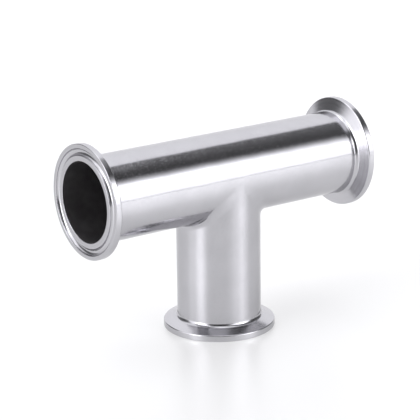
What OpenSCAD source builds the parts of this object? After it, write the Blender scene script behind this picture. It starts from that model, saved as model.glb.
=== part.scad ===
// Sanitary clamp tee: a polished stainless tube body with three equal clamp ports.
// The port axes cross at the origin. The run lies along X and the branch points down, along -Z.
// Tube and ferrules are one piece: the welds are ground flush and polished away.

/* [Tube] */
// Outside diameter of the run and of the branch
tube_od = 38; // [20:0.1:80]
// Wall thickness of the run and of the branch
tube_wall = 1.2; // [0.8:0.1:2]
// Outside radius of the drawn bend where the branch leaves the run
crotch_radius = 4.5; // [1:0.1:6]

/* [Reach] */
// Distance from the crossing of the axes to the face of each run port
run_reach = 70; // [60:1:150]
// Distance from the crossing of the axes to the face of the branch port
branch_reach = 70; // [60:1:150]

/* [Ferrule] */
// Width of the flat land between the bore and the gasket groove
inner_land = 2.15; // [1:0.05:5]
// Width of the flat land between the gasket groove and the rim
outer_land = 1.7; // [1:0.05:5]
// Height of the rim, from the face to the start of the back taper
rim_height = 2.85; // [2.5:0.05:6]
// Slope of the flange's back, which the clamp closes on, in degrees
back_angle = 20; // [10:1:30]
// Radius between the flange's back and the tube
neck_radius = 2; // [0.5:0.1:3]
// Rounding of the rim's edge at the face
rim_rounding = 0.3; // [0.1:0.05:0.6]
// Rounding of the edge between the rim and the flange's back
back_rounding = 0.6; // [0.1:0.05:1]
// Rounding of the bore's mouth
mouth_rounding = 0.2; // [0.1:0.05:0.5]

/* [Gasket groove] */
// Width of the groove's mouth, across its rounded lips
groove_width = 3.6; // [3.2:0.1:5]
// Depth of the groove below the face
groove_depth = 1.5; // [1:0.05:2]
// Rounding of the groove's lips
lip_rounding = 0.3; // [0.1:0.05:0.5]

/* [Hidden] */
$fn = 96;
tube_r = tube_od / 2;
bore_r = tube_r - tube_wall;
groove_r = bore_r + inner_land + groove_width / 2;
flange_r = bore_r + inner_land + groove_width + outer_land;
// Distance from the face to the line where the back taper meets the tube
taper_end = rim_height + (flange_r - tube_r) * tan(back_angle);
// How far a cut or a filling runs past the surface that it meets
overlap = 0.5;
// How far a fillet's circle sinks into the edges that it meets, so that it crosses them
fillet_bite = 0.0005;
// How far the drawn bend's ring sinks into the tubes, so that it crosses them
ring_bite = 0.01;
// How far the drawn bend runs to each side of the plane of the axes, in degrees
bend_sweep = 87;

// Unit vector along v
function unit(v) = v / norm(v);

// What a fillet of radius r adds to, or takes from, the corner at p between the edges along a and b
module corner_fillet(p, a, b, r) {
    half_angle = acos(unit(a) * unit(b)) / 2;
    tangent = r / tan(half_angle);
    middle = unit(unit(a) + unit(b));
    centre = p + middle * r / sin(half_angle);
    difference() {
        polygon([p - middle * overlap, p + unit(a) * tangent, centre, p + unit(b) * tangent]);
        translate(centre) circle(r + fillet_bite);
    }
}

// Half-round gasket groove with rounded lips, cut down into a face at height 0
module groove_section() {
    groove_round = (groove_width ^ 2 / 4 + groove_depth ^ 2) / (2 * groove_depth) - lip_rounding;
    centre = [groove_r, groove_round - groove_depth];
    lips = [for (side = [-1, 1]) [groove_r + side * groove_width / 2, -lip_rounding]];
    meets = [for (lip = lips) centre + unit(lip - centre) * groove_round];
    translate(centre) circle(groove_round);
    difference() {
        polygon([[lips[0].x, 0], meets[0], meets[1], [lips[1].x, 0], [groove_r, overlap]]);
        for (lip = lips) translate(lip) circle(lip_rounding);
    }
}

// Half section of a tube with its ferrule: x is the radius, y the distance from the crossing of the axes
module arm_section(reach) {
    edge = [flange_r, reach];
    back = [flange_r, reach - rim_height];
    neck = [tube_r, reach - taper_end];
    difference() {
        union() {
            polygon([[0, 0], [tube_r, 0], neck, back, edge, [0, reach]]);
            corner_fillet(neck, back - neck, [0, -1], neck_radius);
        }
        translate([0, reach]) groove_section();
        corner_fillet(edge, [-1, 0], [0, -1], rim_rounding);
        corner_fillet(back, [0, 1], neck - back, back_rounding);
    }
}

// Half section of such a tube's bore, with its rounded mouth
module bore_section(reach) {
    square([bore_r, reach + overlap]);
    translate([0, reach]) square([bore_r + mouth_rounding, overlap]);
    corner_fillet([bore_r, reach], [1, 0], [0, -1], mouth_rounding);
}

// Turns a half section into the run, on both sides of the crossing
module turn_run() {
    rotate([0, 90, 0]) rotate_extrude() {
        children();
        mirror([0, 1]) children();
    }
}

// Turns a half section into the branch
module turn_branch() {
    rotate([180, 0, 0]) rotate_extrude() children();
}

// Filling of the crease on the +X side of two equal crossing tubes, up to a ring laid in the crease.
// The ring is stretched along the crease's long axis, so that it touches both tubes all the way.
module bend(tube, r) {
    stretch = (sqrt(2) * tube * (tube + r) + r * sqrt(tube * (3 * tube + 2 * r))) / (tube * (tube + 2 * r));
    slant = sqrt(stretch ^ 2 + 1);
    touch = [stretch * (tube + r) - stretch ^ 2 * r / slant, r / slant];
    rotate([0, 45, 0]) intersection() {
        scale([stretch, 1, 1]) rotate([0, 0, -bend_sweep]) rotate_extrude(angle = 2 * bend_sweep)
            difference() {
                translate([tube - r, -r]) square(2 * r);
                translate([tube + r, 0]) circle(r + ring_bite);
            }
        // Wedge from the crossing out past the two lines where the ring touches the tubes
        rotate([90, 0, 0]) linear_extrude(4 * tube, center = true)
            polygon([[0, 0], 2 * touch, 2 * [touch.x, -touch.y]]);
    }
}

// The filling on both sides of the branch
module bends(tube, r) {
    bend(tube, r);
    mirror([1, 0, 0]) bend(tube, r);
}

// The tee as if it were solid
module tee_outside() {
    turn_run() arm_section(run_reach);
    turn_branch() arm_section(branch_reach);
    bends(tube_r, crotch_radius);
}

// The way through the run and the branch, with the inside of the drawn bend one wall away from its outside
module tee_bores() {
    turn_run() bore_section(run_reach);
    turn_branch() bore_section(branch_reach);
    bends(bore_r, crotch_radius + tube_wall);
}

module tee_body() {
    color("silver") difference() {
        tee_outside();
        tee_bores();
    }
}

tee_body();
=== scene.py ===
import math
import bpy
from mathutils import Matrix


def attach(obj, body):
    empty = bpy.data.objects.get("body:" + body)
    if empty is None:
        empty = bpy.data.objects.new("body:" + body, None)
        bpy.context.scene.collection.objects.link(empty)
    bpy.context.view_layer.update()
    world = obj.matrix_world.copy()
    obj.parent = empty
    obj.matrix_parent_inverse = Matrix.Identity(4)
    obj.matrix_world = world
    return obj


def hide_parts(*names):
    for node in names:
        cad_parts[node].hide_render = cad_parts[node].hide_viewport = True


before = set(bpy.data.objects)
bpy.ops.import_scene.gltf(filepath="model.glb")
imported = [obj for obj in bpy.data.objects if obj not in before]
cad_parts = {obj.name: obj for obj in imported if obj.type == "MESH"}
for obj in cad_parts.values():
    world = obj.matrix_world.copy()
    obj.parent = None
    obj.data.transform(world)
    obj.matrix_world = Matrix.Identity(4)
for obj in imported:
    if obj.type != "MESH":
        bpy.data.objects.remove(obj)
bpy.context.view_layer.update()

bpy.ops.object.select_all(action="DESELECT")

# Sanitary clamp tee. A stainless tube with a branch drawn out of its side, and a turned ferrule welded to
# each of its three ends. The welds are ground flush and polished, so the real tee is one seamless piece.
# One arm, tube and ferrule, is turned first, from a ring that grows along the run.
tube_r = 0.019
bore_r = 0.0178
wall = tube_r - bore_r
reach = 0.070
flange_r = 0.02525
rim_height = 0.00285
rim_round = 0.0003
back_slope = math.radians(20)
back_round = 0.0006
neck_r = 0.0020
mouth_round = 0.0002
groove_r = 0.02175
half_groove = 0.0018
groove_depth = 0.0015
lip_r = 0.0003
facets = 128
merge_gap = 0.000002

back_x = reach - rim_height
neck_x = back_x - (flange_r - tube_r) * math.tan(back_slope)
half_turn = math.tan((math.pi / 2 - back_slope) / 2)
neck_start = neck_x - neck_r * half_turn
back_start = back_x - back_round * half_turn * math.sin(back_slope)
back_start_r = flange_r - back_round * half_turn * math.cos(back_slope)
groove_round = (half_groove ** 2 + groove_depth ** 2) / (2 * groove_depth) - lip_r
groove_x = reach + groove_round - groove_depth
lip_end = math.degrees(math.atan2(half_groove, groove_x - reach + lip_r))

# Arcs of the half section, from the tube out over the flange and in to the bore: the centre's place along
# the arm and distance from its axis, the radius, first and last angle in degrees, steps.
arcs = (
    (neck_start, tube_r + neck_r, neck_r, -90, -20, 10),
    (back_start + back_round * math.cos(back_slope), back_start_r - back_round * math.sin(back_slope),
     back_round, 160, 90, 8),
    (reach - rim_round, flange_r - rim_round, rim_round, 90, 0, 6),
    (reach - lip_r, groove_r + half_groove, lip_r, 0, -lip_end, 6),
    (groove_x, groove_r, groove_round, 180 - lip_end, 180 + lip_end, 18),
    (reach - lip_r, groove_r - half_groove, lip_r, lip_end, 0, 6),
    (reach - mouth_round, bore_r + mouth_round, mouth_round, 0, -90, 5),
)
section = [(0, tube_r)]
for x, r, size, first, last, steps in arcs:
    for k in range(steps + 1):
        a = math.radians(first + (last - first) * k / steps)
        section.append((x + size * math.cos(a), r + size * math.sin(a)))
section.append((0, bore_r))

bpy.ops.mesh.primitive_circle_add(vertices=facets, radius=tube_r, rotation=(0, math.pi / 2, 0))
tee = bpy.context.object
tee.name = "clamp_tee"
bpy.ops.object.transform_apply(rotation=True)
bpy.ops.object.mode_set(mode="EDIT")
bpy.ops.mesh.select_mode(type="EDGE")
bpy.ops.mesh.select_all(action="SELECT")
for (x0, r0), (x1, r1) in zip(section, section[1:]):
    bpy.ops.mesh.extrude_edges_move(TRANSFORM_OT_translate={"value": (x1 - x0, 0, 0)})
    if r1 != r0:
        bpy.ops.transform.resize(value=(1, r1 / r0, r1 / r0), center_override=(x1, 0, 0))
bpy.ops.object.mode_set(mode="OBJECT")

# The branch is the same arm turned down. Both are cut on the mitre, where two equal tubes cross, and the
# branch also on the middle of the tee, since the other half is mirrored later.
bpy.ops.object.duplicate()
branch = bpy.context.object
branch.rotation_euler = (0, math.pi / 2, 0)
bpy.ops.object.transform_apply(rotation=True)


def cut_back(arm, *planes):
    bpy.ops.object.select_all(action="DESELECT")
    arm.select_set(True)
    bpy.context.view_layer.objects.active = arm
    bpy.ops.object.mode_set(mode="EDIT")
    for plane in planes:
        bpy.ops.mesh.select_all(action="SELECT")
        bpy.ops.mesh.bisect(plane_co=(0, 0, 0), plane_no=plane, clear_inner=True)
    bpy.ops.object.mode_set(mode="OBJECT")


def close_seams():
    bpy.ops.object.mode_set(mode="EDIT")
    bpy.ops.mesh.select_all(action="SELECT")
    bpy.ops.mesh.remove_doubles(threshold=merge_gap)
    bpy.ops.mesh.normals_make_consistent(inside=False)
    bpy.ops.object.mode_set(mode="OBJECT")


cut_back(branch, (-1, 0, -1), (1, 0, 0))
cut_back(tee, (1, 0, 1))
branch.select_set(True)
bpy.ops.object.join()
close_seams()

# The drawn bend runs along the mitre's creases. It is tightest in the crotch, opens towards the front and
# the back, and runs out where the tubes meet there without a crease. Inside, it is larger by the wall.
crotch_bend = 0.0034
front_bend = 0.020
on_mitre = 0.000005
bend = tee.modifiers.new("drawn bend", "BEVEL")
bend.limit_method = "WEIGHT"
bend.width = front_bend + wall
bend.segments = 12
bend.use_clamp_overlap = False
share = tee.data.attributes.new("bevel_weight_edge", "FLOAT", "EDGE")
for edge in tee.data.edges:
    ends = [tee.data.vertices[i].co for i in edge.vertices]
    if all(abs(p.x + p.z) < on_mitre for p in ends):
        middle = (ends[0] + ends[1]) / 2
        r = math.hypot(middle.y, middle.z)
        lean = (middle.y / r) ** 2
        bend_r = crotch_bend + (front_bend - crotch_bend) * lean ** 3
        if r < (tube_r + bore_r) / 2:
            bend_r += wall
        share.data[edge.index].value = bend_r * math.sqrt((1 - lean) / (1 + lean)) / bend.width
bpy.ops.object.modifier_apply(modifier=bend.name)
other_side = tee.modifiers.new("other side", "MIRROR")
other_side.use_axis = (True, False, False)
other_side.use_clip = True
other_side.merge_threshold = merge_gap
bpy.ops.object.modifier_apply(modifier=other_side.name)
close_seams()
bpy.ops.object.shade_smooth()
even = tee.modifiers.new("even shading", "WEIGHTED_NORMAL")
even.weight = 100
bpy.ops.object.modifier_apply(modifier=even.name)


# Finish of the tubes: ground and polished round the tube with a fine compound, which leaves faint rings, a
# hint of haze and fine dull pits. The drawn wall under the polish is not quite even, so reflections waver
# a little.
def steel(name):
    finish = bpy.data.materials.new(name)
    finish.use_nodes = True
    shader = finish.node_tree.nodes["Principled BSDF"]
    shader.inputs["Metallic"].default_value = 1
    place = finish.node_tree.nodes.new("ShaderNodeTexCoord")
    return finish, finish.node_tree, shader, place.outputs["Object"]


def marks(tree, place, scale, detail):
    noise = tree.nodes.new("ShaderNodeTexNoise")
    noise.inputs["Scale"].default_value = scale
    noise.inputs["Detail"].default_value = detail
    tree.links.new(place, noise.inputs["Vector"])
    return noise.outputs["Fac"]


def stretch(tree, place, scale):
    mapping = tree.nodes.new("ShaderNodeMapping")
    mapping.inputs["Scale"].default_value = scale
    tree.links.new(place, mapping.inputs["Vector"])
    return mapping.outputs["Vector"]


def fade(tree, value, start, end, first, last, soft=False):
    change = tree.nodes.new("ShaderNodeMapRange")
    if soft:
        change.interpolation_type = "SMOOTHSTEP"
    change.inputs["From Min"].default_value = start
    change.inputs["From Max"].default_value = end
    change.inputs["To Min"].default_value = first
    change.inputs["To Max"].default_value = last
    tree.links.new(value, change.inputs["Value"])
    return change.outputs["Result"]


def reckon(tree, operation, *terms):
    step = tree.nodes.new("ShaderNodeMath")
    step.operation = operation
    for slot, term in zip(step.inputs, terms):
        if isinstance(term, bpy.types.NodeSocket):
            tree.links.new(term, slot)
        else:
            slot.default_value = term
    return step.outputs["Value"]


def tone(tree, value, *stops):
    ramp = tree.nodes.new("ShaderNodeValToRGB")
    for stop, (position, colour) in zip(ramp.color_ramp.elements, stops):
        stop.position = position
        stop.color = (*colour, 1)
    tree.links.new(value, ramp.inputs["Fac"])
    return ramp.outputs["Color"]


def relief(tree, height, depth, under=None):
    bump = tree.nodes.new("ShaderNodeBump")
    bump.inputs["Distance"].default_value = depth
    tree.links.new(height, bump.inputs["Height"])
    if under is not None:
        tree.links.new(under, bump.inputs["Normal"])
    return bump.outputs["Normal"]


edge_tint = (0.8, 0.8, 0.8, 1)
polish = {}
for arm, grain in (("run", (2400, 160, 160)), ("branch", (160, 160, 2400))):
    polish[arm], tree, shader, place = steel("polished " + arm)
    shader.inputs["Specular Tint"].default_value = edge_tint
    rings = marks(tree, stretch(tree, place, grain), 1, 3)
    haze = fade(tree, rings, 0.25, 0.75, 0.08, 0.16)
    pits = fade(tree, marks(tree, place, 1500, 0), 0.45, 0.75, 0, 0.12)
    tree.links.new(reckon(tree, "ADD", haze, pits), shader.inputs["Roughness"])
    cloud = marks(tree, place, 90, 4)
    colour = tone(tree, cloud, (0.3, (0.527, 0.522, 0.546)), (0.7, (0.562, 0.557, 0.582)))
    tree.links.new(colour, shader.inputs["Base Color"])
    wavering_wall = relief(tree, marks(tree, place, 55, 1), 0.0002)
    tree.links.new(relief(tree, rings, 0.000004, wavering_wall), shader.inputs["Normal"])

# Finish of the ferrules: solid stainless, turned bright on a lathe before they are welded on, so their fine
# marks run in circles round the port. The noise reads the place along the port's axis and the radius.
turning = {}
for arm, axis, spread in (("run", "X", (0, 1, 1)), ("branch", "Z", (1, 1, 0))):
    turning[arm], tree, shader, place = steel("turned ferrule " + arm)
    shader.inputs["Specular Tint"].default_value = edge_tint
    along = tree.nodes.new("ShaderNodeSeparateXYZ")
    tree.links.new(place, along.inputs["Vector"])
    radius = tree.nodes.new("ShaderNodeVectorMath")
    radius.operation = "LENGTH"
    tree.links.new(stretch(tree, place, spread), radius.inputs[0])
    feed = tree.nodes.new("ShaderNodeCombineXYZ")
    tree.links.new(along.outputs[axis], feed.inputs["X"])
    tree.links.new(radius.outputs["Value"], feed.inputs["Y"])
    rings = marks(tree, feed.outputs["Vector"], 2500, 3)
    tree.links.new(fade(tree, rings, 0.25, 0.75, 0.14, 0.25), shader.inputs["Roughness"])
    colour = tone(tree, rings, (0.3, (0.540, 0.535, 0.559)), (0.7, (0.575, 0.570, 0.595)))
    tree.links.new(colour, shader.inputs["Base Color"])
    tree.links.new(relief(tree, rings, 0.000012), shader.inputs["Normal"])

# Finish of the bore: the tube's own skin as it was drawn, left unpolished, so it is duller than the outside
# and a little cloudy. Its base colour is also set darker than the outside's steel, as painted shade inside
# the bore.
shaded_bore_steel, tree, shader, place = steel("drawn bore with painted shade")
shader.inputs["Roughness"].default_value = 0.4
# These darker greys are painted shade inside the bore. The cloudy change between them is the drawn skin's
# own.
colour = tone(tree, marks(tree, place, 160, 5), (0.35, (0.30, 0.29, 0.30)), (0.75, (0.42, 0.41, 0.42)))
tree.links.new(colour, shader.inputs["Base Color"])

# Each face takes the finish of the arm and of the part of it that it lies on. The ferrules start where the
# neck's radius leaves the tube, and the bore ends at its rounded mouth.
finishes = (polish["run"], polish["branch"], turning["run"], turning["branch"], shaded_bore_steel)
ferrule_start = neck_start - 0.00001
for finish in finishes:
    tee.data.materials.append(finish)
for face in tee.data.polygons:
    at = face.center
    arm = "branch" if abs(at.x) < -at.z else "run"
    along = -at.z if arm == "branch" else abs(at.x)
    across = math.hypot(at.y, at.x if arm == "branch" else at.z)
    if across < (tube_r + bore_r) / 2 and along < reach - mouth_round:
        finish = shaded_bore_steel
    elif along > ferrule_start:
        finish = turning[arm]
    else:
        finish = polish[arm]
    face.material_index = finishes.index(finish)
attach(tee, "root")
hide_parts("tee_body")

# Floor: a white satin acrylic sheet, lit a little from below so that it stays pale round the foot. The tee
# stands on it with its branch port down, and the sheet lies a hair lower than the port's face.
floor_size = 6
floor_gap = 0.00002
bpy.ops.object.select_all(action="DESELECT")
bpy.ops.mesh.primitive_plane_add(size=floor_size, location=(0, 0, -reach - floor_gap))
floor = bpy.context.object
floor.name = "floor"
acrylic = bpy.data.materials.new("white acrylic")
acrylic.use_nodes = True
shader = acrylic.node_tree.nodes["Principled BSDF"]
shader.inputs["Base Color"].default_value = (0.5, 0.5, 0.5, 1)
shader.inputs["Roughness"].default_value = 0.33
shader.inputs["Emission Color"].default_value = (1, 1, 1, 1)
shader.inputs["Emission Strength"].default_value = 0.40
floor.data.materials.append(acrylic)

# Soft studio: white cloth on the left, behind and overhead, with a dim corner left open at the back on the
# left, and a softbox on the right in front. The rest of the room is dark.
studio = bpy.data.worlds.new("studio")
bpy.context.scene.world = studio
studio.use_nodes = True
room = studio.node_tree
background = room.nodes["Background"]
background.inputs["Color"].default_value = (0.985, 0.985, 1.015, 1)
way = room.nodes.new("ShaderNodeTexCoord")
parts = room.nodes.new("ShaderNodeSeparateXYZ")
room.links.new(way.outputs["Generated"], parts.inputs["Vector"])
front = reckon(room, "MULTIPLY", parts.outputs["Y"], -1)
bearing = reckon(room, "ARCTAN2", parts.outputs["X"], front)
height = reckon(room, "ARCSINE", parts.outputs["Z"])
dark_room = 0.07
light = dark_room

# Each light: bearing from the front in degrees, half its width and the softness of its sides, its lower
# edge and softness, its upper edge and softness, all in degrees, and its strength.
for at, half, edge, low, low_edge, top, top_edge, strength in (
        (144.2, 35.7, 4, -90, 1, 95, 1, 1.06),    # cloth behind
        (189, 9, 4, -90, 1, 6, 5, 1.06),          # its low end on the left
        (140, 60, 30, -90, 1, 95, 1, 0.11),       # its spill
        (-96, 28, 9, -90, 1, 60, 12, 1.5),        # cloth on the left
        (-87, 10, 8, -90, 1, 45, 15, 3.6),        # lamp behind it
        (-150, 30, 6, 38, 8, 95, 1, 1.0),         # cloth over the dim corner
        (-150, 30, 12, -90, 1, 95, 1, 0.05),      # the dim corner itself
        (0, 200, 1, 63, 6, 95, 1, 1.2),           # cloth overhead
        (-40, 45, 12, 57, 5, 95, 1, 0.6),         # its front edge
        (28, 23, 8, 0, 3, 38, 12, 2.0),           # softbox on the right
        (0, 9, 6, 18, 6, 38, 12, 1.2),            # its side
        (30, 8, 8, 16, 6, 34, 8, 4.2)):           # lamp in it
    away = reckon(room, "SUBTRACT", bearing, math.radians(at))
    gap = reckon(room, "ABSOLUTE", reckon(room, "WRAP", away, math.pi, -math.pi))
    across = fade(room, gap, math.radians(half - edge), math.radians(half + edge), strength, 0, soft=True)
    bottom = fade(room, height, math.radians(low - low_edge), math.radians(low + low_edge), 0, 1, soft=True)
    upper = fade(room, height, math.radians(top - top_edge), math.radians(top + top_edge), 1, 0, soft=True)
    light = reckon(room, "MULTIPLY_ADD", across, reckon(room, "MULTIPLY", bottom, upper), light)
room.links.new(light, background.inputs["Strength"])

# Camera: a long lens a little above the run, from the left in front, as the photo was taken. Its place and
# its turn in degrees put the outlines where they are in the photo.
camera_place = (-0.45616, -0.63157, 0.21876)
camera_turn = (73.2105, 0.6725, -35.7755)
bpy.ops.object.camera_add(location=camera_place)
camera = bpy.context.object
camera.data.lens = 155.64
camera.data.sensor_width = 36
camera.data.clip_start = 0.01
camera.rotation_euler = [math.radians(angle) for angle in camera_turn]
bpy.context.scene.camera = camera
bpy.context.scene.view_settings.view_transform = "Standard"
